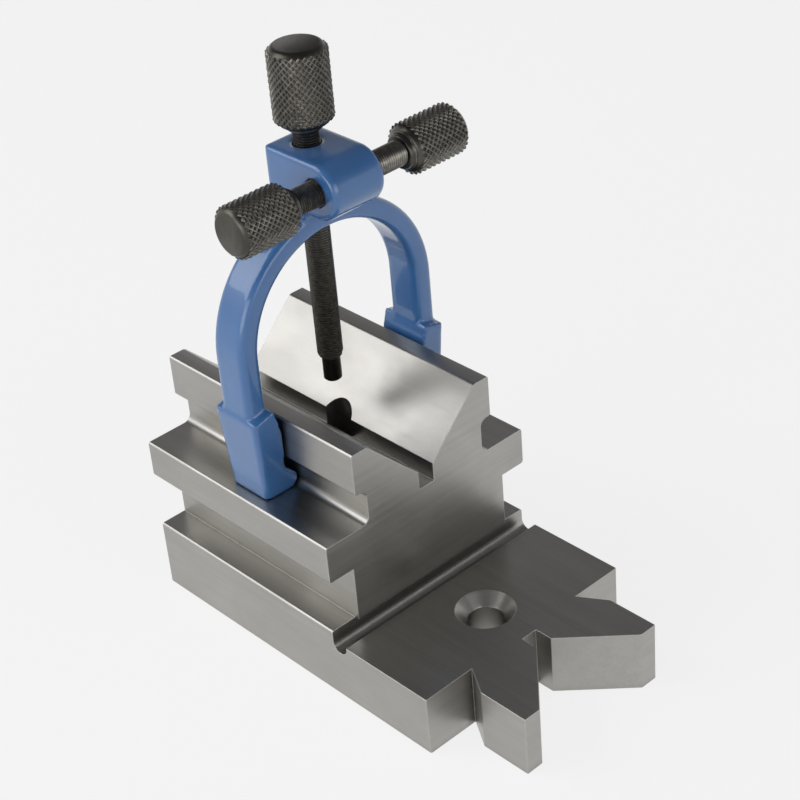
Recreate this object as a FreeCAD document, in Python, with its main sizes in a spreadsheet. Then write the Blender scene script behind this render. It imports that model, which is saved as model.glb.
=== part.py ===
"""Multi-use V-block with its clamp: a ground steel block, a cast clamp frame and three thumb screws.

The block is one piece. Its long body carries a 90 degree V along the top and an undercut groove down
each side, in which the toes of the clamp frame slide. Beyond the body the base runs on as a tongue
with a tapped hole, and ends in a second V that faces forward.

Frame of the part: X runs along the V towards the tongue, Y across it and Z up. The origin is on the
underside of the base, on the axis of the drill hole in the middle of the V body.
"""
import FreeCAD, Part
import math
import os

import Sketcher

SIZES = [
    # alias, millimetres, what it is
    ("body_length", 52.0, "length of the V body along X"),
    ("block_width", 50.0, "width over the base and over the rails"),
    ("block_height", 50.0, "underside of the base to the top of the V"),
    ("base_thickness", 14.8, "underside of the base to its top under the V body"),
    ("web_width", 38.6, "width of the web between base and rails"),
    ("rail_underside", 26.4, "height of the underside of the rails"),
    ("rail_top", 34.2, "height of the rail tops, where the clamp stands"),
    ("head_underside", 41.3, "height of the ledge that the clamp toes catch"),
    ("head_width", 34.2, "width of the head that holds the V"),
    ("undercut_depth", 2.6, "depth of each side groove under the head"),
    ("undercut_radius", 1.6, "corner radius at the back of each side groove"),
    ("vee_opening", 26.8, "width of the 90 degree V at its mouth"),
    ("relief_width", 3.6, "width of the relief slot at the bottom of the V"),
    ("relief_depth", 3.7, "depth of the relief slot below the V flanks"),
    ("drill_hole", 8.0, "diameter of the upright hole through the V body"),
    ("tongue_thickness", 12.7, "thickness of the tongue"),
    ("tongue_reach", 39.8, "end face of the V body to the tips of the prongs"),
    ("shoulder_reach", 23.4, "end face of the V body to the shoulders of the tongue"),
    ("notch_reach", 5.7, "shoulders to the front corners of the side notches"),
    ("notch_depth", 3.5, "depth of each side notch behind the prongs"),
    ("relief_groove_width", 3.5, "width of the round-bottomed groove between end face and tongue"),
    ("relief_groove_depth", 2.0, "depth of that groove below the tongue"),
    ("relief_groove_undercut", 1.1, "how far that groove reaches in behind the end face"),
    ("tap_hole", 6.8, "diameter of the tapped hole at its thread crests"),
    ("tap_hole_reach", 13.4, "end face of the V body to the tapped hole"),
    ("countersink", 11.5, "diameter of the countersink on the tapped hole"),
    ("edge_break", 0.35, "chamfer on the ground edges of the block"),
    ("clamp_position", 2.0, "drill hole to the plane of the clamp frame, along X"),
    ("arch_radius", 19.0, "inner radius of the arch of the clamp frame"),
    ("arch_band", 4.3, "thickness of the arch and its legs, across"),
    ("arch_width", 8.2, "width of the arch and its legs, along X"),
    ("arch_centre", 28.2, "height of the centre of the arch above the rails"),
    ("arch_round", 1.3, "rounding of the edges of the arch"),
    ("foot_height", 17.2, "height of the outer sides of the feet above the rails"),
    ("foot_length", 11.6, "length of the top of each foot along X"),
    ("foot_narrowing", 0.8, "how much less each foot reaches at its sole, fore and aft"),
    ("foot_ledge", 0.4, "how far the top of each foot stands out from the leg"),
    ("foot_taper", 1.2, "how far the outer side of a foot leans in towards its sole"),
    ("foot_shoulder", 1.2, "rise of the top of each foot towards the inside of the arch"),
    ("foot_slope", 5.2, "height of the slope on the inner side of each foot"),
    ("foot_round", 1.0, "rounding of the upright outer edges of the feet"),
    ("head_clearance", 0.4, "gap between each foot and the side of the head"),
    ("toe_clearance", 0.4, "gap between each toe and the back of the side groove"),
    ("toe_tip", 2.6, "height of the tips of the toes above the rails"),
    ("toe_root", 5.2, "height of the toes above the rails where they leave the feet"),
    ("toe_bevel", 1.3, "bevel under the tips of the toes, which clears the corner rounds"),
    ("boss_width", 12.0, "width of the boss across the arch"),
    ("boss_back", 5.0, "upright screw axis to the back of the boss"),
    ("boss_crown", 11.5, "crown of the arch to the top of the boss"),
    ("boss_round", 1.0, "rounding of the edges of the boss"),
    ("cross_reach", 8.0, "upright screw axis to the axis of the side screws"),
    ("cross_barrel", 10.8, "diameter of the barrel round the side screws"),
    ("thread", 5.0, "outer diameter of the screw threads"),
    ("thread_clearance", 0.05, "radial gap between a screw and its hole"),
    ("clamp_knob_diameter", 11.0, "diameter of the knurled head of the upright screw"),
    ("clamp_knob_length", 14.6, "length of that head"),
    ("side_knob_diameter", 10.0, "diameter of the knurled heads of the side screws"),
    ("side_knob_length", 12.6, "length of those heads"),
    ("knob_chamfer", 1.2, "chamfer on both ends of the heads"),
    ("collar_diameter", 6.6, "diameter of the plain collar under each head"),
    ("collar_length", 1.0, "length of the plain collar under each head"),
    ("clamp_screw_gap", 3.6, "top of the boss to the underside of the upright head"),
    ("clamp_shank", 47.6, "length of the upright screw below its head, without the dog point"),
    ("dog_diameter", 3.5, "diameter of the dog point"),
    ("dog_length", 4.9, "length of the dog point"),
    ("side_shank", 13.0, "length of a side screw below its head"),
    ("left_gap", 6.4, "side of the boss to the head of the left side screw"),
    ("right_gap", 9.0, "side of the boss to the head of the right side screw"),
    ("screw_chamfer", 0.6, "chamfer on the end of each screw"),
]

doc = FreeCAD.newDocument("v_block_with_clamp")
sheet = doc.addObject("Spreadsheet::Sheet", "Sizes")


class Size:
    """A length that knows both its number and the sheet expression it comes from."""

    def __init__(self, value, text):
        self.value = value
        self.text = text

    def combine(self, sign, other, swapped=False):
        other = other if isinstance(other, Size) else Size(float(other), repr(float(other)))
        left, right = (other, self) if swapped else (self, other)
        results = {
            "+": lambda: left.value + right.value,
            "-": lambda: left.value - right.value,
            "*": lambda: left.value * right.value,
            "/": lambda: left.value / right.value,
        }
        return Size(results[sign](), "(%s %s %s)" % (left.text, sign, right.text))

    def __add__(self, other):
        return self.combine("+", other)

    def __radd__(self, other):
        return self.combine("+", other, swapped=True)

    def __sub__(self, other):
        return self.combine("-", other)

    def __rsub__(self, other):
        return self.combine("-", other, swapped=True)

    def __mul__(self, other):
        return self.combine("*", other)

    def __rmul__(self, other):
        return self.combine("*", other, swapped=True)

    def __truediv__(self, other):
        return self.combine("/", other)

    def __neg__(self):
        return self.combine("*", -1.0)


def fill_sheet():
    """Writes every size into the sheet and returns the sizes by name."""
    sizes = {}
    for row, (alias, value, meaning) in enumerate(SIZES, start=1):
        sheet.set("A%d" % row, alias)
        sheet.set("B%d" % row, str(value))
        sheet.setAlias("B%d" % row, alias)
        sheet.set("C%d" % row, meaning)
        sizes[alias] = Size(value, "Sizes.%s" % alias)
    doc.recompute()
    return sizes


size = fill_sheet()
ZERO = Size(0.0, "0")


def new_body(label):
    body = doc.addObject("PartDesign::Body", label)
    body.Label = label
    return body


def new_sketch(body, name, plane):
    """A sketch on one of the body's own origin planes: XY_Plane, XZ_Plane or YZ_Plane."""
    sketch = body.newObject("Sketcher::SketchObject", name)
    origin_plane = [item for item in body.Origin.OriginFeatures if item.Role == plane][0]
    sketch.AttachmentSupport = [(origin_plane, "")]
    sketch.MapMode = "FlatFace"
    return sketch


def bind(sketch, kind, geometry, point, length):
    """Holds one coordinate of a point at a sheet expression, measured from the sketch's origin."""
    index = sketch.addConstraint(Sketcher.Constraint(kind, -1, 1, geometry, point, length.value))
    sketch.setExpression("Constraints[%d]" % index, length.text)


def arc_between(start, end, centre, clockwise):
    """The arc from start to end about centre, as Sketcher wants it: counter-clockwise."""
    radius = math.hypot(start[0] - centre[0], start[1] - centre[1])
    first, last = (end, start) if clockwise else (start, end)
    angles = [math.atan2(point[1] - centre[1], point[0] - centre[0]) for point in (first, last)]
    circle = Part.Circle(FreeCAD.Vector(centre[0], centre[1], 0), FreeCAD.Vector(0, 0, 1), radius)
    return Part.ArcOfCircle(circle, angles[0], angles[1] + (2 * math.pi if angles[1] < angles[0] else 0))


def draw_outline(sketch, corners, arcs=()):
    """A closed outline through the corners. arcs maps a corner's number to the centre and the sense
    of the arc that leaves it; every other corner is left by a straight line."""
    arcs = dict(arcs)
    numbers = [(x.value, y.value) for x, y in corners]
    ends = []
    for start in range(len(corners)):
        end = (start + 1) % len(corners)
        if start in arcs:
            centre, clockwise = arcs[start]
            shape = arc_between(numbers[start], numbers[end], [c.value for c in centre], clockwise)
            ends.append((2, 1) if clockwise else (1, 2))
        else:
            shape = Part.LineSegment(FreeCAD.Vector(*numbers[start], 0), FreeCAD.Vector(*numbers[end], 0))
            ends.append((1, 2))
        sketch.addGeometry(shape, False)
    for start in range(len(corners)):
        end = (start + 1) % len(corners)
        sketch.addConstraint(Sketcher.Constraint("Coincident", start, ends[start][1], end, ends[end][0]))
    for start, (x, y) in enumerate(corners):
        bind(sketch, "DistanceX", start, ends[start][0], x)
        bind(sketch, "DistanceY", start, ends[start][0], y)
    for start, (centre, clockwise) in arcs.items():
        end = (start + 1) % len(corners)
        chord_is_flat = abs(numbers[end][0] - numbers[start][0]) > abs(numbers[end][1] - numbers[start][1])
        if chord_is_flat:
            bind(sketch, "DistanceY", start, 3, centre[1])
        else:
            bind(sketch, "DistanceX", start, 3, centre[0])


def draw_circle(sketch, x, y, diameter):
    index = sketch.addGeometry(Part.Circle(FreeCAD.Vector(x.value, y.value, 0), FreeCAD.Vector(0, 0, 1),
                                           diameter.value / 2), False)
    bind(sketch, "DistanceX", index, 3, x)
    bind(sketch, "DistanceY", index, 3, y)
    held = sketch.addConstraint(Sketcher.Constraint("Diameter", index, diameter.value))
    sketch.setExpression("Constraints[%d]" % held, diameter.text)


def check_grows(body, before, grows, name):
    """Stops the build where a feature added or cut nothing."""
    change = body.Shape.Volume - before
    if (change > 0) != grows or abs(change) < 1e-3:
        raise RuntimeError("%s changed the volume by %.4f" % (name, change))


def pad(body, sketch, name, length, symmetric=False):
    before = body.Shape.Volume if not body.Shape.isNull() else 0.0
    feature = body.newObject("PartDesign::Pad", name)
    feature.Profile = sketch
    feature.setExpression("Length", length.text)
    if symmetric:
        feature.SideType = "Symmetric"
    doc.recompute()
    check_grows(body, before, True, name)


def cut_through(body, sketch, name):
    """Cuts the sketch through the whole body, both ways from its plane."""
    before = body.Shape.Volume
    feature = body.newObject("PartDesign::Pocket", name)
    feature.Profile = sketch
    feature.SideType = "Symmetric"
    feature.Type = "ThroughAll"
    doc.recompute()
    check_grows(body, before, False, name)


def revolve(body, sketch, name):
    """Turns the sketch about its own vertical axis into the body's first solid."""
    feature = body.newObject("PartDesign::Revolution", name)
    feature.Profile = sketch
    feature.ReferenceAxis = (sketch, ["V_Axis"])
    feature.Angle = 360
    doc.recompute()
    check_grows(body, 0.0, True, name)


def round_edges(body, name, radius, chosen, kind="Fillet"):
    """Fillets or chamfers the edges of the body's last feature that chosen(edge) picks."""
    last = body.Tip
    names = ["Edge%d" % (i + 1) for i, edge in enumerate(last.Shape.Edges) if chosen(edge)]
    feature = body.newObject("PartDesign::%s" % kind, name)
    feature.Base = (last, names)
    feature.setExpression("Size" if kind == "Chamfer" else "Radius", radius.text)
    doc.recompute()


def near(a, b):
    return abs(a - b) < 1e-4


def lies_at(edge, axis, values):
    """True where every point of the edge has one of the values as its coordinate on the axis."""
    points = [edge.valueAt(edge.FirstParameter + (edge.LastParameter - edge.FirstParameter) * part)
              for part in (0.0, 0.5, 1.0)]
    return any(all(near(point[axis], value) for point in points) for value in values)


def mirrored(half):
    """A closed outline from its right half, which runs from the bottom centre to the top centre."""
    return half + [(-x, y) for x, y in reversed(half)]


def build_block():
    """The ground block: V body, rails, base and tongue, all one piece."""
    body = new_body("v_block")
    end_face = size["body_length"] / 2
    half_block = size["block_width"] / 2
    half_head = size["head_width"] / 2
    half_web = size["web_width"] / 2
    half_undercut = half_head - size["undercut_depth"]
    half_vee = size["vee_opening"] / 2
    half_relief = size["relief_width"] / 2
    flank_foot = size["block_height"] - half_vee + half_relief

    section = new_sketch(body, "section", "YZ_Plane")
    draw_outline(section, mirrored([
        (half_block, ZERO),
        (half_block, size["base_thickness"]),
        (half_web, size["base_thickness"]),
        (half_web, size["rail_underside"]),
        (half_block, size["rail_underside"]),
        (half_block, size["rail_top"]),
        (half_undercut, size["rail_top"]),
        (half_undercut, size["head_underside"]),
        (half_head, size["head_underside"]),
        (half_head, size["block_height"]),
        (half_vee, size["block_height"]),
        (half_relief, flank_foot),
        (half_relief, flank_foot - size["relief_depth"]),
    ]))
    pad(body, section, "vee_body", size["body_length"], symmetric=True)

    tip = end_face + size["tongue_reach"]
    shoulder = end_face + size["shoulder_reach"]
    notch_front = shoulder + size["notch_reach"]
    throat = tip - half_vee + half_relief
    plan = new_sketch(body, "tongue_plan", "XY_Plane")
    right_side = [
        (ZERO, half_block),
        (shoulder, half_block),
        (shoulder, half_head - size["notch_depth"]),
        (notch_front, half_head),
        (tip, half_head),
        (tip, half_vee),
        (throat, half_relief),
        (throat - size["relief_depth"], half_relief),
    ]
    draw_outline(plan, right_side + [(x, -y) for x, y in reversed(right_side)])
    pad(body, plan, "tongue", size["tongue_thickness"])

    groove_radius = size["relief_groove_width"] / 2
    groove_back = end_face - size["relief_groove_undercut"]
    groove_front = groove_back + size["relief_groove_width"]
    round_start = size["tongue_thickness"] - size["relief_groove_depth"] + groove_radius
    groove = new_sketch(body, "relief_groove_profile", "XZ_Plane")
    draw_outline(groove, [
        (groove_back, round_start),
        (groove_front, round_start),
        (groove_front, size["base_thickness"]),
        (groove_back, size["base_thickness"]),
    ], arcs={0: ((groove_back + groove_radius, round_start), False)})
    cut_through(body, groove, "relief_groove")

    drill = new_sketch(body, "drill_hole_plan", "XY_Plane")
    draw_circle(drill, ZERO, ZERO, size["drill_hole"])
    cut_through(body, drill, "drill_hole")

    tapped = end_face + size["tap_hole_reach"]
    tap = new_sketch(body, "tap_hole_plan", "XY_Plane")
    draw_circle(tap, tapped, ZERO, size["tap_hole"])
    cut_through(body, tap, "tap_hole")

    round_edges(body, "undercut_rounds", size["undercut_radius"], lambda edge: (
        lies_at(edge, 1, [half_undercut.value, -half_undercut.value])
        and lies_at(edge, 2, [size["rail_top"].value, size["head_underside"].value])))

    countersink_depth = (size["countersink"] - size["tap_hole"]) / 2
    round_edges(body, "countersink", countersink_depth, lambda edge: (
        lies_at(edge, 2, [size["tongue_thickness"].value])
        and edge.BoundBox.Center.distanceToPoint(FreeCAD.Vector(
            tapped.value, 0, size["tongue_thickness"].value)) < 1e-3), kind="Chamfer")

    corner_heights = [0.0] + [size[name].value for name in
                              ("base_thickness", "rail_underside", "rail_top")]

    def is_long_corner(edge):
        runs_along = lies_at(edge, 1, [half_block.value, -half_block.value])
        mouth = (lies_at(edge, 2, [size["block_height"].value])
                 and edge.Length > size["body_length"].value / 2)
        ledge = (lies_at(edge, 1, [half_head.value, -half_head.value])
                 and lies_at(edge, 2, [size["head_underside"].value]))
        return (runs_along and lies_at(edge, 2, corner_heights)) or mouth or ledge

    round_edges(body, "long_edge_breaks", size["edge_break"], is_long_corner, kind="Chamfer")
    return body


def build_frame():
    """The cast clamp frame. Its own origin is on the rails, under the axis of the upright screw."""
    body = new_body("clamp_frame")
    centre = size["arch_centre"]
    inner = size["arch_radius"]
    outer = inner + size["arch_band"]
    arch = new_sketch(body, "arch_profile", "YZ_Plane")
    leg_end = size["foot_height"]
    draw_outline(arch, [
        (outer, leg_end),
        (outer, centre),
        (-outer, centre),
        (-outer, leg_end),
        (-inner, leg_end),
        (-inner, centre),
        (inner, centre),
        (inner, leg_end),
    ], arcs={1: ((ZERO, centre), False), 5: ((ZERO, centre), True)})
    pad(body, arch, "arch", size["arch_width"], symmetric=True)
    half_width = size["arch_width"].value / 2
    round_edges(body, "arch_rounds", size["arch_round"], lambda edge: (
        lies_at(edge, 0, [half_width, -half_width]) and not lies_at(edge, 2, [leg_end.value])))

    inside = size["head_width"] / 2 + size["head_clearance"]
    toe = size["head_width"] / 2 - size["undercut_depth"] + size["toe_clearance"]
    foot_side = outer + size["foot_ledge"]
    sole_edge = foot_side - size["foot_taper"]
    top = size["foot_height"]
    ledge = top + size["foot_shoulder"]
    for side, sign in (("left", -1), ("right", 1)):
        foot = new_sketch(body, "%s_foot_profile" % side, "YZ_Plane")
        draw_outline(foot, [
            (sign * (toe + size["toe_bevel"]), ZERO),
            (sign * sole_edge, ZERO),
            (sign * foot_side, top),
            (sign * inner, ledge),
            (sign * inside, ledge - size["foot_slope"]),
            (sign * inside, size["toe_root"]),
            (sign * toe, size["toe_tip"]),
            (sign * toe, size["toe_bevel"]),
        ])
        pad(body, foot, "%s_foot" % side, size["foot_length"], symmetric=True)
    half_foot = size["foot_length"] / 2
    for end, sign in (("back", -1), ("front", 1)):
        trim = new_sketch(body, "%s_trim_profile" % end, "XZ_Plane")
        draw_outline(trim, [
            (sign * half_foot, ZERO),
            (sign * half_foot, top),
            (sign * (half_foot - size["foot_narrowing"]), ZERO),
        ])
        cut_through(body, trim, "%s_trim" % end)
    outer_reach = (sole_edge.value, foot_side.value)
    round_edges(body, "foot_rounds", size["foot_round"], lambda edge: (
        near(edge.BoundBox.ZMin, 0) and near(edge.BoundBox.ZMax, top.value)
        and all(near(abs(vertex.Y), reach) for vertex, reach in
                zip(sorted(edge.Vertexes, key=lambda v: v.Z), outer_reach))))

    crown = centre + outer
    boss_top = crown + size["boss_crown"]
    barrel = size["cross_barrel"] / 2
    axis_height = boss_top - barrel
    cross = size["cross_reach"]
    seat = centre + inner + size["arch_band"] / 2
    boss = new_sketch(body, "boss_profile", "XZ_Plane")
    draw_outline(boss, [
        (-size["boss_back"], axis_height - barrel),
        (-size["arch_width"] / 2 + size["arch_round"], seat),
        (size["arch_width"] / 2 - size["arch_round"], seat),
        (size["arch_width"] / 2 + size["arch_round"] / 2, axis_height - barrel),
        (cross, axis_height - barrel),
        (cross, boss_top),
        (-size["boss_back"], boss_top),
    ], arcs={4: ((cross, axis_height), False)})
    pad(body, boss, "boss", size["boss_width"], symmetric=True)
    underside = (axis_height - barrel).value - 1e-4
    half_boss = size["boss_width"].value / 2
    round_edges(body, "boss_rounds", size["boss_round"], lambda edge: (
        edge.BoundBox.ZMin > underside and lies_at(edge, 1, [half_boss, -half_boss])))

    bore = size["thread"] + 2 * size["thread_clearance"]
    upright = new_sketch(body, "clamp_hole_plan", "XY_Plane")
    draw_circle(upright, ZERO, ZERO, bore)
    cut_through(body, upright, "clamp_hole")
    across = new_sketch(body, "side_hole_plan", "XZ_Plane")
    draw_circle(across, cross, axis_height, bore)
    cut_through(body, across, "side_hole")
    return body


def build_screw(label, diameter, length, shank, dog=None):
    """A thumb screw turned from one bar, standing on Z with the underside of its head at zero.
    dog is the diameter and length of the plain point, where the screw has one."""
    body = new_body(label)
    head = diameter / 2
    chamfer = size["knob_chamfer"]
    collar = size["collar_diameter"] / 2
    collar_end = -size["collar_length"]
    radius = size["thread"] / 2
    tip_chamfer = size["screw_chamfer"]
    corners = [
        (ZERO, length),
        (head - chamfer, length),
        (head, length - chamfer),
        (head, chamfer),
        (head - chamfer, ZERO),
        (collar, ZERO),
        (collar, collar_end),
        (radius, collar_end),
        (radius, tip_chamfer - shank),
        (radius - tip_chamfer, -shank),
    ]
    if dog is None:
        corners.append((ZERO, -shank))
    else:
        point, reach = dog[0] / 2, shank + dog[1]
        corners += [
            (point, -shank),
            (point, tip_chamfer / 2 - reach),
            (point - tip_chamfer / 2, -reach),
            (ZERO, -reach),
        ]
    profile = new_sketch(body, "%s_profile" % label, "XZ_Plane")
    draw_outline(profile, corners)
    revolve(body, profile, "%s_turning" % label)
    return body


def place(body, x, y, z, tilt=0.0):
    """Puts the body at a point bound to the sheet, tilted about X by whole degrees."""
    body.Placement.Rotation = FreeCAD.Rotation(FreeCAD.Vector(1, 0, 0), tilt)
    for letter, length in (("x", x), ("y", y), ("z", z)):
        body.setExpression("Placement.Base.%s" % letter, length.text)


def check_and_export(bodies):
    doc.recompute()
    failed = [item.Name for item in doc.Objects if "Invalid" in item.State or "Error" in item.State]
    if failed:
        raise RuntimeError("failed objects: %s" % ", ".join(failed))
    os.makedirs("parts", exist_ok=True)
    for body in bodies:
        shape = body.Shape
        if shape.isNull() or not shape.isValid() or len(shape.Solids) != 1:
            raise RuntimeError("%s isn't one valid solid" % body.Label)
        shape.exportStep("parts/%s.step" % body.Label)
        print("%s: %.2f cm3" % (body.Label, shape.Volume / 1000))


def main():
    block = build_block()
    frame = build_frame()
    place(frame, size["clamp_position"], ZERO, size["rail_top"])

    boss_top = (size["rail_top"] + size["arch_centre"] + size["arch_radius"] + size["arch_band"]
                + size["boss_crown"])
    clamp_screw = build_screw("clamp_screw", size["clamp_knob_diameter"], size["clamp_knob_length"],
                              size["clamp_shank"], dog=(size["dog_diameter"], size["dog_length"]))
    place(clamp_screw, size["clamp_position"], ZERO, boss_top + size["clamp_screw_gap"])

    side_screws = []
    cross_x = size["clamp_position"] + size["cross_reach"]
    cross_z = boss_top - size["cross_barrel"] / 2
    half_boss = size["boss_width"] / 2
    for side, sign, gap in (("left", -1, size["left_gap"]), ("right", 1, size["right_gap"])):
        screw = build_screw("%s_side_screw" % side, size["side_knob_diameter"],
                            size["side_knob_length"], size["side_shank"])
        place(screw, cross_x, sign * (half_boss + gap), cross_z, tilt=-90 * sign)
        side_screws.append(screw)
    check_and_export([block, frame, clamp_screw] + side_screws)


main()
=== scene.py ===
"""Looks of the V-block with its clamp: ground steel, gloss paint over a casting, blackened screws.

Lengths are metres in the frame of the solids: X runs along the V, Y across it and Z up.
"""

import math

import bmesh
import bpy
from mathutils import Matrix, Vector


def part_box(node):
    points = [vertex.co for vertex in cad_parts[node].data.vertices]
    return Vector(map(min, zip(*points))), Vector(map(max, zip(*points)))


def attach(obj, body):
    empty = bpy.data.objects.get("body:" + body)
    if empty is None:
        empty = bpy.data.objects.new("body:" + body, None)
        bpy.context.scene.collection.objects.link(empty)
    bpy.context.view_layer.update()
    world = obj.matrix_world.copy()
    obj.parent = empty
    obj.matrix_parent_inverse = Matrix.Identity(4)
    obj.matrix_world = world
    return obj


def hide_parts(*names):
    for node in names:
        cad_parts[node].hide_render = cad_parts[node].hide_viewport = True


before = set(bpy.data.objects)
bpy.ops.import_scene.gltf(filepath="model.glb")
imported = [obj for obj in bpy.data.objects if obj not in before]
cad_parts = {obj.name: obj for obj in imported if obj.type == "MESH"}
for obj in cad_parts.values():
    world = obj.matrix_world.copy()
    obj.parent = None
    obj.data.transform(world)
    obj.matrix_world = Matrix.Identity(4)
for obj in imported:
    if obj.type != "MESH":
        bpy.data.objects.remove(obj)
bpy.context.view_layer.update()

HEAD_LENGTH = {"clamp_screw": 0.0146, "left_side_screw": 0.0126, "right_side_screw": 0.0126}
HEAD_CHAMFER = 0.0012
COLLAR_RADIUS = 0.0033
COLLAR_LENGTH = 0.001
THREAD_RADIUS = 0.0025
THREAD_PITCH = 0.0005
THREAD_DEPTH = 0.00028
DOG_RADIUS = 0.00175
DOG_LENGTH = 0.0049
KNURL_DEPTH = 0.00036
KNURL_PITCH = 0.0012


# ---------------------------------------------------------------- node trees

class Tree:
    """A hand for laying out one node tree: an input is given a value or the socket that feeds it."""

    def __init__(self, tree):
        self.tree = tree

    def add(self, kind, inputs=None, **settings):
        node = self.tree.nodes.new(kind)
        for name, value in settings.items():
            setattr(node, name, value)
        for name, value in (inputs or {}).items():
            self.feed(node.inputs[name], value)
        return node

    def feed(self, socket, value):
        if isinstance(value, bpy.types.NodeSocket):
            self.tree.links.new(value, socket)
        else:
            socket.default_value = value

    def maths(self, operation, first, second=0.0):
        return self.add("ShaderNodeMath", {0: first, 1: second}, operation=operation).outputs[0]

    def ramp(self, value, low, high, start=0.0, end=1.0):
        """The value brought from low..high to start..end, and held there beyond them."""
        return self.add("ShaderNodeMapRange", {
            "Value": value, "From Min": low, "From Max": high, "To Min": start, "To Max": end,
        }).outputs["Result"]

    def blend(self, factor, first, second):
        """A colour between two."""
        node = self.add("ShaderNodeMix", data_type="RGBA")
        self.feed(node.inputs[0], factor)
        self.feed(node.inputs[6], first)
        self.feed(node.inputs[7], second)
        return node.outputs[2]

    def placed(self, scale, turn=(0.0, 0.0, 0.0)):
        """Object coordinates, scaled and turned for one pattern."""
        place = self.add("ShaderNodeTexCoord").outputs["Object"]
        return self.add("ShaderNodeMapping", {
            "Vector": place, "Scale": scale, "Rotation": turn,
        }).outputs["Vector"]

    def group(self, tree, inputs):
        node = self.add("ShaderNodeGroup", node_tree=tree)
        for name, value in inputs.items():
            self.feed(node.inputs[name], value)
        return node.outputs


def new_group(name, kind, inputs, outputs):
    """An empty node group and its input and output nodes' sockets."""
    tree = bpy.data.node_groups.new(name, kind)
    for label, socket_type, default in inputs:
        socket = tree.interface.new_socket(label, in_out="INPUT", socket_type=socket_type)
        if default is not None:
            socket.default_value = default
    for label, socket_type in outputs:
        tree.interface.new_socket(label, in_out="OUTPUT", socket_type=socket_type)
    return tree, tree.nodes.new("NodeGroupInput").outputs, tree.nodes.new("NodeGroupOutput").inputs


def grinding_lines():
    """Fine parallel lines of a ground face. The vector is stretched along the grinding by its user."""
    tree, given, out = new_group("grinding_lines", "ShaderNodeTree", [
        ("Vector", "NodeSocketVector", None),
        ("Coarse share", "NodeSocketFloat", 0.4),
    ], [("Height", "NodeSocketFloat"), ("Shade", "NodeSocketFloat")])
    t = Tree(tree)
    fine = t.add("ShaderNodeTexNoise", {"Vector": given["Vector"], "Scale": 1.0, "Detail": 3.0,
                                        "Roughness": 0.65}).outputs["Fac"]
    coarse = t.add("ShaderNodeTexNoise", {"Vector": given["Vector"], "Scale": 0.17, "Detail": 2.0,
                                          "Roughness": 0.5}).outputs["Fac"]
    mixed = t.add("ShaderNodeMix", data_type="FLOAT")
    t.feed(mixed.inputs[0], given["Coarse share"])
    t.feed(mixed.inputs[2], fine)
    t.feed(mixed.inputs[3], coarse)
    t.feed(out["Height"], mixed.outputs[0])
    t.feed(out["Shade"], t.ramp(mixed.outputs[0], 0.3, 0.7))
    return tree


def worn_lit_edges_and_shaded_hollows():
    """Masks for two marks, broken up so that neither is even: convex edges, for rubbed wear and a painted
    highlight, and hollows, for painted shade in corners and recesses.
    """
    tree, given, out = new_group("worn_lit_edges_and_shaded_hollows", "ShaderNodeTree", [
        ("Vector", "NodeSocketVector", None),
        ("Edge reach", "NodeSocketFloat", 0.0003),
        ("Painted shade reach", "NodeSocketFloat", 0.002),
        ("Break-up", "NodeSocketFloat", 0.5),
    ], [("Wear and highlight", "NodeSocketFloat"), ("Painted shade", "NodeSocketFloat")])
    t = Tree(tree)
    inside = t.add("ShaderNodeAmbientOcclusion", {"Distance": given["Edge reach"]},
                   inside=True, only_local=True, samples=6).outputs["AO"]
    outside = t.add("ShaderNodeAmbientOcclusion", {"Distance": given["Painted shade reach"]},
                    samples=6).outputs["AO"]
    patches = t.add("ShaderNodeTexNoise", {"Vector": given["Vector"], "Scale": 1.0,
                                           "Detail": 4.0}).outputs["Fac"]
    uneven = t.ramp(patches, 0.35, 0.65)
    keep = t.maths("SUBTRACT", 1.0, t.maths("MULTIPLY", given["Break-up"], uneven))
    # Convex edges from the inside test: rubbed wear and a painted highlight.
    t.feed(out["Wear and highlight"], t.maths("MULTIPLY", t.ramp(inside, 0.85, 0.45), keep))
    # Hollows from the outside test: painted shade in corners, grooves and recesses.
    t.feed(out["Painted shade"], t.maths("MULTIPLY", t.ramp(outside, 0.75, 0.2), keep))
    return tree


def handling_marks():
    """Slow, soft differences left by fingers and an oily cloth."""
    tree, given, out = new_group("handling_marks", "ShaderNodeTree", [
        ("Vector", "NodeSocketVector", None),
        ("Softness", "NodeSocketFloat", 0.2),
    ], [("Mask", "NodeSocketFloat")])
    t = Tree(tree)
    clouds = t.add("ShaderNodeTexNoise", {"Vector": given["Vector"], "Scale": 1.0, "Detail": 3.0,
                                          "Distortion": 0.6}).outputs["Fac"]
    low = t.maths("SUBTRACT", 0.5, given["Softness"])
    high = t.maths("ADD", 0.5, given["Softness"])
    t.feed(out["Mask"], t.ramp(clouds, low, high))
    return tree


def casting_skin():
    """The slow lumps of a casting and the orange peel of the paint over them."""
    tree, given, out = new_group("casting_skin", "ShaderNodeTree", [
        ("Vector", "NodeSocketVector", None),
        ("Peel", "NodeSocketFloat", 0.25),
    ], [("Height", "NodeSocketFloat")])
    t = Tree(tree)
    lumps = t.add("ShaderNodeTexNoise", {"Vector": given["Vector"], "Scale": 0.22, "Detail": 1.5,
                                         "Roughness": 0.4}).outputs["Fac"]
    peel = t.add("ShaderNodeTexNoise", {"Vector": given["Vector"], "Scale": 1.6, "Detail": 1.0,
                                        "Roughness": 0.5}).outputs["Fac"]
    t.feed(out["Height"], t.maths("ADD", lumps, t.maths("MULTIPLY", given["Peel"], peel)))
    return tree


GRINDING = grinding_lines()
EDGES = worn_lit_edges_and_shaded_hollows()
MARKS = handling_marks()
SKIN = casting_skin()


def new_material(name, constants):
    """A material with one Principled shader, whose fixed values are set on its own sockets."""
    material = bpy.data.materials.new(name)
    material.use_nodes = True
    shader = material.node_tree.nodes["Principled BSDF"]
    for socket, value in constants.items():
        shader.inputs[socket].default_value = value
    return material, Tree(material.node_tree), shader.inputs


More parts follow.
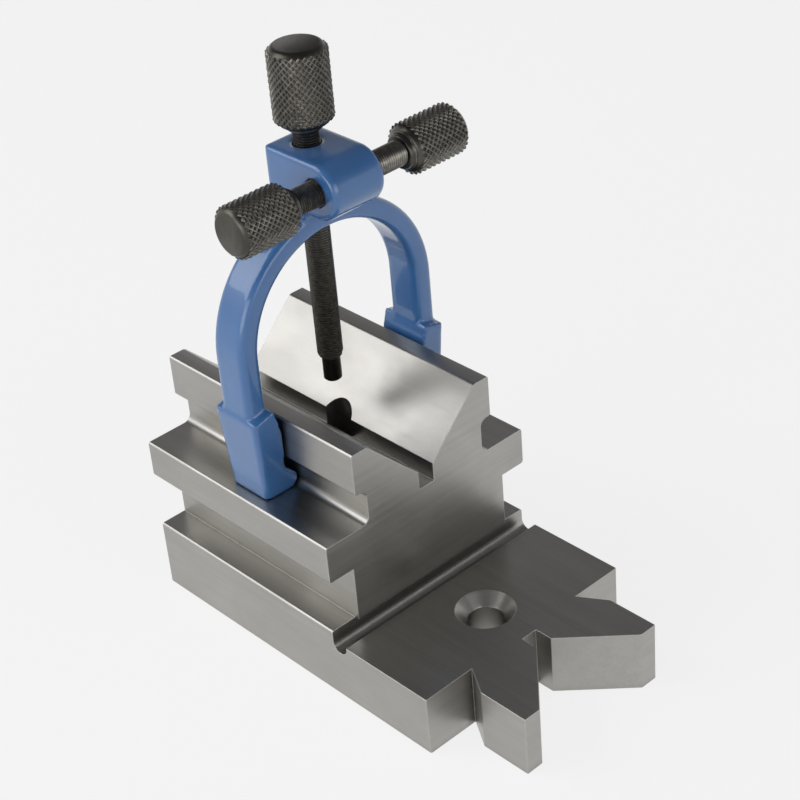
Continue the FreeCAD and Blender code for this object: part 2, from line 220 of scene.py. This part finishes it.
def ground_steel():
    """Bare steel, ground along the V on its long faces and across the part on its end faces."""
    material, t, shader = new_material("ground_steel", {"Metallic": 1.0, "Anisotropic": 0.0})
    along = t.group(GRINDING, {"Vector": t.placed((55.0, 3800.0, 3800.0)), "Coarse share": 0.35})
    across = t.group(GRINDING, {"Vector": t.placed((3800.0, 70.0, 3800.0)), "Coarse share": 0.5})
    normal = t.add("ShaderNodeTexCoord").outputs["Normal"]
    end_on = t.maths("ABSOLUTE", t.add("ShaderNodeSeparateXYZ", {"Vector": normal}).outputs["X"])
    is_end = t.ramp(end_on, 0.75, 0.9)

    def chosen(name):
        pick = t.add("ShaderNodeMix", data_type="FLOAT")
        t.feed(pick.inputs[0], is_end)
        t.feed(pick.inputs[2], along[name])
        t.feed(pick.inputs[3], across[name])
        return pick.outputs[0]

    marks = t.group(MARKS, {"Vector": t.placed((60.0, 90.0, 90.0)), "Softness": 0.22})["Mask"]
    edges = t.group(EDGES, {"Vector": t.placed((700.0, 700.0, 700.0)), "Edge reach": 0.00035,
                            "Painted shade reach": 0.0022, "Break-up": 0.5})
    steel = t.blend(chosen("Shade"), (0.355, 0.345, 0.325, 1.0), (0.44, 0.43, 0.41, 1.0))
    steel = t.blend(t.maths("MULTIPLY", marks, 0.35), steel, (0.31, 0.30, 0.28, 1.0))
    # Painted shade: hollows, grooves and corners darkened towards near black.
    steel = t.blend(t.maths("MULTIPLY", edges["Painted shade"], 0.55), steel, (0.07, 0.062, 0.05, 1.0))
    # Convex edges lightened: rubbed wear and a painted highlight.
    steel = t.blend(t.maths("MULTIPLY", edges["Wear and highlight"], 0.7), steel, (0.72, 0.71, 0.69, 1.0))
    t.feed(shader["Base Color"], steel)
    rough = t.maths("ADD", 0.27, t.maths("MULTIPLY", chosen("Shade"), 0.09))
    t.feed(shader["Roughness"], t.maths("ADD", rough, t.maths("MULTIPLY", marks, 0.07)))
    bump = t.add("ShaderNodeBump", {"Strength": 0.5, "Distance": 0.000012, "Height": chosen("Height")})
    t.feed(shader["Normal"], bump.outputs["Normal"])
    return material


def gloss_paint():
    """Blue enamel, brushed thickly over a rough casting."""
    material, t, shader = new_material("blue_gloss_paint", {
        "Metallic": 0.0, "Coat Roughness": 0.07, "Coat IOR": 1.5, "Specular IOR Level": 0.5,
    })
    skin = t.group(SKIN, {"Vector": t.placed((900.0, 900.0, 900.0)), "Peel": 0.3})["Height"]
    marks = t.group(MARKS, {"Vector": t.placed((110.0, 110.0, 110.0)), "Softness": 0.25})["Mask"]
    edges = t.group(EDGES, {"Vector": t.placed((1500.0, 1500.0, 1500.0)), "Edge reach": 0.0006,
                            "Painted shade reach": 0.0018, "Break-up": 0.7})
    paint = t.blend(marks, (0.040, 0.150, 0.400, 1.0), (0.055, 0.185, 0.450, 1.0))
    # Painted shade: hollows and corners darkened to a deep blue.
    paint = t.blend(t.maths("MULTIPLY", edges["Painted shade"], 0.6), paint, (0.012, 0.035, 0.11, 1.0))
    # Painted highlight: convex edges lightened to a pale blue.
    paint = t.blend(t.maths("MULTIPLY", edges["Wear and highlight"], 0.35), paint, (0.16, 0.34, 0.62, 1.0))
    t.feed(shader["Base Color"], paint)
    t.feed(shader["Roughness"], t.ramp(marks, 0.0, 1.0, 0.30, 0.38))
    t.feed(shader["Coat Weight"], t.ramp(edges["Painted shade"], 0.0, 1.0, 0.8, 0.35))
    bump = t.add("ShaderNodeBump", {"Strength": 0.6, "Distance": 0.00012, "Height": skin})
    t.feed(shader["Normal"], bump.outputs["Normal"])
    return material


def black_oxide(name, tone, edge_wear_and_highlight):
    """Blackened steel that has been handled: lighter at its edges, from rubbed wear and a painted highlight,
    and darker in its hollows and thread grooves with painted shade.
    """
    material, t, shader = new_material(name, {"Metallic": 1.0})
    lines = t.group(GRINDING, {"Vector": t.placed((900.0, 900.0, 900.0)), "Coarse share": 0.5})
    marks = t.group(MARKS, {"Vector": t.placed((230.0, 230.0, 230.0)), "Softness": 0.2})["Mask"]
    edges = t.group(EDGES, {"Vector": t.placed((1300.0, 1300.0, 1300.0)), "Edge reach": 0.00018,
                            "Painted shade reach": 0.0007, "Break-up": 0.6})
    dark = tuple(0.62 * part for part in tone) + (1.0,)
    black = t.blend(marks, dark, tuple(tone) + (1.0,))
    # Painted shade: hollows and thread grooves darkened towards black.
    black = t.blend(t.maths("MULTIPLY", edges["Painted shade"], 0.7), black, (0.022, 0.02, 0.017, 1.0))
    # Convex edges and knurl tips lightened: rubbed wear and a painted highlight.
    black = t.blend(t.maths("MULTIPLY", edges["Wear and highlight"], edge_wear_and_highlight), black, (0.42, 0.40, 0.36, 1.0))
    t.feed(shader["Base Color"], black)
    t.feed(shader["Roughness"], t.ramp(lines["Shade"], 0.0, 1.0, 0.28, 0.42))
    bump = t.add("ShaderNodeBump", {"Strength": 0.35, "Distance": 0.00003, "Height": lines["Height"]})
    t.feed(shader["Normal"], bump.outputs["Normal"])
    return material


# ---------------------------------------------------------------- repeated shapes

def wrapped_diamonds(material):
    """Adds a diamond knurl to a turned head: blunt four-sided pyramids in staggered rows."""
    tree, given, out = new_group("diamond_knurl", "GeometryNodeTree", [
        ("Geometry", "NodeSocketGeometry", None),
        ("Core radius", "NodeSocketFloat", 0.005),
        ("Depth", "NodeSocketFloat", 0.0003),
        ("Start", "NodeSocketFloat", 0.001),
        ("Length", "NodeSocketFloat", 0.01),
        ("Around", "NodeSocketInt", 28),
        ("Rows", "NodeSocketInt", 16),
        ("Seed", "NodeSocketInt", 7),
    ], [("Geometry", "NodeSocketGeometry")])
    t = Tree(tree)
    count = t.maths("MULTIPLY", given["Around"], given["Rows"])
    index = t.add("GeometryNodeInputIndex").outputs[0]
    row = t.maths("FLOOR", t.maths("DIVIDE", t.maths("ADD", index, 0.5), given["Around"]))
    column = t.maths("SUBTRACT", index, t.maths("MULTIPLY", row, given["Around"]))
    stagger = t.maths("MULTIPLY", 0.5, t.maths("MODULO", row, 2.0))
    step = t.maths("DIVIDE", 2 * math.pi, given["Around"])
    angle = t.maths("MULTIPLY", t.maths("ADD", column, stagger), step)
    rise = t.maths("DIVIDE", given["Length"], t.maths("ADD", given["Rows"], 1.0))
    height = t.maths("ADD", given["Start"], t.maths("MULTIPLY", rise, t.maths("ADD", row, 1.0)))
    sunk = t.maths("SUBTRACT", given["Core radius"], 0.00004)
    place = t.add("ShaderNodeCombineXYZ", {
        "X": t.maths("MULTIPLY", sunk, t.maths("COSINE", angle)),
        "Y": t.maths("MULTIPLY", sunk, t.maths("SINE", angle)),
        "Z": height,
    }).outputs[0]
    points = t.add("GeometryNodePoints", {"Count": count, "Position": place}).outputs[0]

    half_width = t.maths("MULTIPLY", given["Core radius"], t.maths("MULTIPLY", step, 0.5))
    cone = t.add("GeometryNodeMeshCone", {
        "Vertices": 4, "Radius Top": 0.22, "Radius Bottom": 0.97, "Depth": 1.0,
    }, fill_type="NGON").outputs["Mesh"]
    shaped = t.add("GeometryNodeTransform", {
        "Geometry": cone,
        "Scale": t.add("ShaderNodeCombineXYZ", {
            "X": rise, "Y": half_width, "Z": t.maths("ADD", given["Depth"], 0.00004),
        }).outputs[0],
    }).outputs[0]
    outward = t.add("GeometryNodeTransform", {
        "Geometry": shaped, "Rotation": (0.0, math.pi / 2, 0.0),
    }).outputs[0]
    blunting = t.add("FunctionNodeRandomValue", data_type="FLOAT_VECTOR")
    blunting.inputs["Min"].default_value = (0.86, 1.0, 1.0)
    blunting.inputs["Max"].default_value = (1.0, 1.0, 1.0)
    t.feed(blunting.inputs["Seed"], given["Seed"])
    spread = t.add("GeometryNodeInstanceOnPoints", {
        "Points": points, "Instance": outward, "Scale": blunting.outputs["Value"],
        "Rotation": t.add("ShaderNodeCombineXYZ", {"Z": angle}).outputs[0],
    }).outputs[0]
    joined = t.add("GeometryNodeJoinGeometry")
    t.feed(joined.inputs[0], spread)
    t.feed(joined.inputs[0], given["Geometry"])
    real = t.add("GeometryNodeRealizeInstances", {"Geometry": joined.outputs[0]}).outputs[0]
    done = t.add("GeometryNodeSetMaterial", {"Geometry": real})
    done.inputs["Material"].default_value = material
    t.feed(out["Geometry"], done.outputs[0])
    return tree


def wound_thread(material):
    """Adds a helical thread ridge round Z, from the given height downwards."""
    tree, given, out = new_group("screw_thread", "GeometryNodeTree", [
        ("Geometry", "NodeSocketGeometry", None),
        ("Core radius", "NodeSocketFloat", 0.0022),
        ("Depth", "NodeSocketFloat", 0.0003),
        ("Top", "NodeSocketFloat", 0.0),
        ("Length", "NodeSocketFloat", 0.01),
        ("Pitch", "NodeSocketFloat", 0.0005),
    ], [("Geometry", "NodeSocketGeometry")])
    t = Tree(tree)
    turns = t.maths("DIVIDE", given["Length"], given["Pitch"])
    helix = t.add("GeometryNodeCurveSpiral", {
        "Resolution": 28, "Rotations": turns, "Start Radius": given["Core radius"],
        "End Radius": given["Core radius"], "Height": given["Length"],
    }).outputs["Curve"]
    lifted = t.add("GeometryNodeTransform", {
        "Geometry": helix,
        "Translation": t.add("ShaderNodeCombineXYZ", {
            "Z": t.maths("SUBTRACT", given["Top"], given["Length"]),
        }).outputs[0],
    }).outputs[0]
    upright = t.add("GeometryNodeSetCurveNormal", {"Curve": lifted}, mode="Z_UP").outputs[0]
    half_pitch = t.maths("MULTIPLY", given["Pitch"], 0.5)
    section = t.add("GeometryNodeCurvePrimitiveQuadrilateral", {
        "Bottom Width": t.maths("MULTIPLY", half_pitch, 1.9),
        "Top Width": t.maths("MULTIPLY", half_pitch, 0.35),
        "Height": t.maths("MULTIPLY", given["Depth"], 2.0),
        "Offset": 0.0,
    }, mode="TRAPEZOID").outputs[0]
    ridge = t.add("GeometryNodeCurveToMesh", {
        "Curve": upright, "Profile Curve": section, "Fill Caps": True,
    }).outputs[0]
    joined = t.add("GeometryNodeJoinGeometry")
    t.feed(joined.inputs[0], ridge)
    t.feed(joined.inputs[0], given["Geometry"])
    real = t.add("GeometryNodeRealizeInstances", {"Geometry": joined.outputs[0]}).outputs[0]
    done = t.add("GeometryNodeSetMaterial", {"Geometry": real})
    done.inputs["Material"].default_value = material
    t.feed(out["Geometry"], done.outputs[0])
    return tree


def grown(piece, tree, values):
    """Runs a Geometry Nodes tree on a piece with the given inputs and keeps what it makes as a plain mesh."""
    modifier = piece.modifiers.new(tree.name, "NODES")
    modifier.node_group = tree
    for item in tree.interface.items_tree:
        if item.in_out == "INPUT" and item.name in values:
            modifier[item.identifier] = values[item.name]
    settle(piece)


def settle(piece):
    """Turns a piece and its modifiers into a plain mesh."""
    bpy.context.view_layer.update()
    evaluated = piece.evaluated_get(bpy.context.evaluated_depsgraph_get())
    mesh = bpy.data.meshes.new_from_object(evaluated)
    piece.modifiers.clear()
    piece.data = mesh


# ---------------------------------------------------------------- pieces

def new_piece(name, shape):
    """A piece from a bmesh, which is used up."""
    mesh = bpy.data.meshes.new(name)
    bmesh.ops.recalc_face_normals(shape, faces=shape.faces)
    shape.to_mesh(mesh)
    shape.free()
    piece = bpy.data.objects.new(name, mesh)
    bpy.context.scene.collection.objects.link(piece)
    return piece


def turned(name, profile, segments):
    """A solid turned about Z. The profile is (radius, height) points whose ends lie on the axis."""
    shape = bmesh.new()
    rings = []
    for radius, height in profile:
        if radius == 0.0:
            rings.append([shape.verts.new((0.0, 0.0, height))])
        else:
            rings.append([shape.verts.new((radius * math.cos(turn), radius * math.sin(turn), height))
                          for turn in (2 * math.pi * step / segments for step in range(segments))])
    for lower, upper in zip(rings, rings[1:]):
        for step in range(segments):
            after = (step + 1) % segments
            corners = [lower[step % len(lower)], lower[after % len(lower)],
                       upper[after % len(upper)], upper[step % len(upper)]]
            shape.faces.new(list(dict.fromkeys(corners)))
    return new_piece(name, shape)


def soften(piece, width, steps, angle=28.0):
    """Rounds a piece's hard edges a little and shades the rest smooth."""
    bevel = piece.modifiers.new("soft_edges", "BEVEL")
    bevel.width = width
    bevel.segments = steps
    bevel.limit_method = "ANGLE"
    bevel.angle_limit = math.radians(angle)
    bevel.use_clamp_overlap = False
    bevel.miter_outer = "MITER_ARC"
    flats = piece.modifiers.new("flat_faces", "WEIGHTED_NORMAL")
    flats.weight = 100
    settle(piece)


def shade(piece, angle=32.0):
    piece.data.shade_smooth()
    piece.data.set_sharp_from_angle(angle=math.radians(angle))


def screw(node, body, direction, material, knurled, threaded, has_dog):
    """A thumb screw for one screw node: turned bar, diamond knurl and thread, in its true place."""
    low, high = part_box(node)
    middle = (low + high) / 2
    along = [abs(part) for part in direction].index(1.0)
    outer = high[along] if sum(direction) > 0 else low[along]
    other = low[along] if sum(direction) > 0 else high[along]
    length = HEAD_LENGTH[node]
    reach = abs(outer - other) - length
    across = (along + 1) % 3
    radius = (high[across] - low[across]) / 2
    shank = reach - DOG_LENGTH if has_dog else reach
    core = radius - KNURL_DEPTH
    root = THREAD_RADIUS - THREAD_DEPTH

    head = turned(node + "_head", [
        (0.0, length), (radius - HEAD_CHAMFER, length), (core, length - HEAD_CHAMFER * 0.8),
        (core, HEAD_CHAMFER * 0.8), (radius - HEAD_CHAMFER, 0.0), (COLLAR_RADIUS, 0.0),
        (COLLAR_RADIUS, -COLLAR_LENGTH), (root, -COLLAR_LENGTH), (0.0, -COLLAR_LENGTH),
    ], 96)
    soften(head, 0.0004, 3)
    grown(head, knurled, {
        "Core radius": core, "Depth": KNURL_DEPTH, "Start": HEAD_CHAMFER * 0.55,
        "Length": length - HEAD_CHAMFER * 1.1,
        "Around": round(2 * math.pi * radius / KNURL_PITCH),
        "Rows": round(2 * (length - HEAD_CHAMFER * 1.1) / KNURL_PITCH) - 1,
    })
    end = [(root, -shank), (0.0, -shank)]
    if has_dog:
        end = [(DOG_RADIUS, -shank), (DOG_RADIUS, 0.0003 - reach), (DOG_RADIUS - 0.0003, -reach),
               (0.0, -reach)]
    stem = turned(node + "_stem", [(0.0, -COLLAR_LENGTH), (root, -COLLAR_LENGTH), (root, 0.0004 - shank),
                                   (root - 0.0004, -shank)] + end, 48)
    grown(stem, threaded, {
        "Core radius": root, "Depth": THREAD_DEPTH, "Top": -COLLAR_LENGTH,
        "Length": shank - COLLAR_LENGTH - 0.0006, "Pitch": THREAD_PITCH,
    })
    piece = joined(node.replace("_screw", "_thumb_screw"), [head, stem], material)
    turn = Vector((0.0, 0.0, 1.0)).rotation_difference(Vector(direction)).to_matrix().to_4x4()
    seat = middle.copy()
    seat[along] = outer - direction[along] * length
    piece.data.transform(Matrix.Translation(seat) @ turn)
    shade(piece)
    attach(piece, body)
    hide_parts(node)
    return piece


def joined(name, parts, material):
    """One mesh of one material from several pieces, which are used up."""
    shape = bmesh.new()
    for part in parts:
        shape.from_mesh(part.data)
        bpy.data.objects.remove(part)
    for face in shape.faces:
        face.material_index = 0
    piece = new_piece(name, shape)
    piece.data.materials.append(material)
    return piece


def merged_copy(name, node):
    """A copy of a CAD node whose loose triangles are joined and whose flat faces are whole."""
    shape = bmesh.new()
    shape.from_mesh(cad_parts[node].data)
    bmesh.ops.remove_doubles(shape, verts=shape.verts, dist=2e-6)
    bmesh.ops.dissolve_limit(shape, angle_limit=math.radians(0.6), verts=shape.verts, edges=shape.edges)
    return new_piece(name, shape)


def block():
    piece = merged_copy("ground_block", "v_block")
    piece.data.materials.clear()
    piece.data.materials.append(ground_steel())
    piece.data.shade_smooth()
    soften(piece, 0.00012, 2)
    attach(piece, "block")
    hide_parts("v_block")


def clamp():
    piece = merged_copy("cast_clamp_frame", "clamp_frame")
    skin = piece.modifiers.new("even_skin", "REMESH")
    skin.mode = "VOXEL"
    skin.voxel_size = 0.00035
    smooth = piece.modifiers.new("soft_casting", "SMOOTH")
    smooth.factor = 0.5
    smooth.iterations = 8
    settle(piece)
    piece.data.materials.clear()
    piece.data.materials.append(gloss_paint())
    piece.data.shade_smooth()
    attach(piece, "frame")
    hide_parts("clamp_frame")


# ---------------------------------------------------------------- studio

def studio_white():
    """White paper: the object's shadow stays on it, and sight and reflections see it as white."""
    material, t, shader = new_material("studio_white", {"Roughness": 0.9, "Specular IOR Level": 0.1})
    grain = t.group(MARKS, {"Vector": t.placed((6.0, 6.0, 6.0)), "Softness": 0.4})["Mask"]
    t.feed(shader["Base Color"], t.blend(grain, (0.86, 0.86, 0.86, 1.0), (0.88, 0.88, 0.88, 1.0)))
    seen = t.add("ShaderNodeLightPath").outputs
    plain = t.maths("MAXIMUM", seen["Is Camera Ray"],
                    t.maths("MAXIMUM", seen["Is Glossy Ray"], seen["Is Transmission Ray"]))
    glow = t.add("ShaderNodeEmission", {"Color": (1.0, 1.0, 1.0, 1.0), "Strength": 1.0}).outputs[0]
    surface = material.node_tree.nodes["Principled BSDF"].outputs[0]
    mix = t.add("ShaderNodeMixShader", {0: t.maths("MULTIPLY", plain, 0.82)})
    t.feed(mix.inputs[1], surface)
    t.feed(mix.inputs[2], glow)
    t.feed(material.node_tree.nodes["Material Output"].inputs["Surface"], mix.outputs[0])
    return material


def studio():
    """A round white floor that turns up into a low wall, open above."""
    profile = [(0.0, 0.0), (1.35, 0.0)]
    profile += [(1.35 + 0.25 * math.sin(turn), 0.25 - 0.25 * math.cos(turn))
                for turn in (math.pi / 2 * step / 10 for step in range(1, 11))]
    profile.append((1.6, 0.6))
    shape = bmesh.new()
    rings = [[shape.verts.new((radius * math.cos(turn), radius * math.sin(turn), height))
              for turn in (2 * math.pi * step / 96 for step in range(96 if radius else 1))]
             for radius, height in profile]
    for inner, outer in zip(rings, rings[1:]):
        for step in range(96):
            after = (step + 1) % 96
            corners = [inner[step % len(inner)], outer[step], outer[after], inner[after % len(inner)]]
            shape.faces.new(list(dict.fromkeys(corners)))
    sweep = new_piece("studio_sweep", shape)
    sweep.data.materials.append(studio_white())
    sweep.data.shade_smooth()

    world = bpy.data.worlds.new("studio_room")
    bpy.context.scene.world = world
    world.use_nodes = True
    t = Tree(world.node_tree)
    up = t.add("ShaderNodeSeparateXYZ", {
        "Vector": t.add("ShaderNodeTexCoord").outputs["Generated"],
    }).outputs["Z"]
    sky = t.blend(t.ramp(up, 0.25, 0.6), (0.42, 0.42, 0.43, 1.0), (0.15, 0.15, 0.155, 1.0))
    room = world.node_tree.nodes["Background"]
    t.feed(room.inputs["Color"], sky)
    room.inputs["Strength"].default_value = 1.0


def lamp(name, place, aim, size, power, colour=(1.0, 1.0, 1.0)):
    light = bpy.data.lights.new(name, "AREA")
    light.shape = "RECTANGLE"
    light.size, light.size_y = size
    light.energy = power
    light.color = colour
    holder = bpy.data.objects.new(name, light)
    holder.matrix_world = Matrix.Translation(place) @ (Vector(aim) - Vector(place)).to_track_quat(
        "-Z", "Y").to_matrix().to_4x4()
    bpy.context.scene.collection.objects.link(holder)


def lamps():
    aim = (0.015, 0.0, 0.045)
    lamp("key_left", (-0.50, -0.52, 0.58), aim, (0.55, 0.55), 2.6)
    lamp("fill_front", (0.10, -0.95, 0.28), aim, (0.9, 0.45), 2.6)
    lamp("fill_right", (0.85, 0.05, 0.30), aim, (0.7, 0.45), 1.6)


def camera():
    """The camera stands off the tongue's left corner and looks down on the block."""
    azimuth, elevation, roll = (math.radians(angle) for angle in (49.48, 32.85, -5.22))
    back = Vector((math.sin(azimuth) * math.cos(elevation), -math.cos(azimuth) * math.cos(elevation),
                   math.sin(elevation)))
    right = Vector((math.cos(azimuth), math.sin(azimuth), 0.0))
    up = back.cross(right)
    turned_right = math.cos(roll) * right + math.sin(roll) * up
    turned_up = -math.sin(roll) * right + math.cos(roll) * up
    rotation = Matrix((turned_right, turned_up, back)).transposed().to_4x4()
    place = Vector((0.01419, 0.00545, 0.04555)) + 0.3715 * back
    lens = bpy.data.cameras.new("camera")
    lens.lens = 1999.5 / 800 * 36
    lens.sensor_width = 36
    lens.clip_start = 0.01
    holder = bpy.data.objects.new("camera", lens)
    holder.matrix_world = Matrix.Translation(place) @ rotation
    bpy.context.scene.collection.objects.link(holder)
    bpy.context.scene.camera = holder


def screws():
    oxide = black_oxide("black_oxide", (0.105, 0.098, 0.086), 0.6)
    knurl = wrapped_diamonds(oxide)
    thread = wound_thread(oxide)
    screw("clamp_screw", "upright_screw", (0.0, 0.0, 1.0), oxide, knurl, thread, has_dog=True)
    screw("left_side_screw", "left_screw", (0.0, -1.0, 0.0), oxide, knurl, thread, has_dog=False)
    screw("right_side_screw", "right_screw", (0.0, 1.0, 0.0), oxide, knurl, thread, has_dog=False)


camera()
lamps()
studio()
block()
clamp()
screws()
bpy.context.scene.view_settings.view_transform = "Standard"
